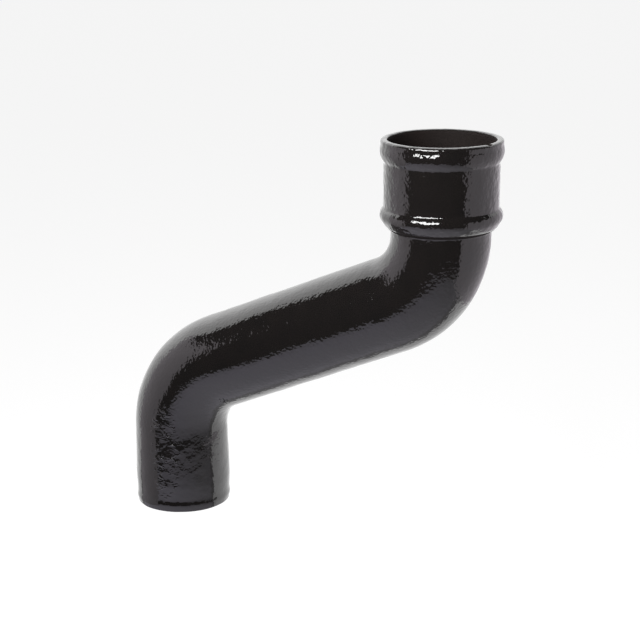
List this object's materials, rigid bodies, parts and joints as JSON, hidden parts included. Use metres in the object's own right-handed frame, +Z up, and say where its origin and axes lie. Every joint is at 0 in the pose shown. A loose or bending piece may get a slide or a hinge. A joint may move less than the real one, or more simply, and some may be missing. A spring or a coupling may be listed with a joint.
{
  "type": "downpipe offset",
  "caption": "Round cast-iron downpipe offset: a hollow S-bend with a plain spigot at the foot and a beaded socket at the head, painted gloss black.",
  "frame": {"origin": "centre of the spigot's lower end, where the casting goes down into the pipe below", "axes": "+Z up along both upright legs, +X from the spigot's axis to the socket's axis, Y across the arm"},
  "size_m": [0.3196, 0.0976, 0.3266],
  "materials": {
    "painted_iron": "gloss black paint"
  },
  "bodies": {
    "root": {"offset_casting": "painted_iron"}
  },
  "joints": []
}
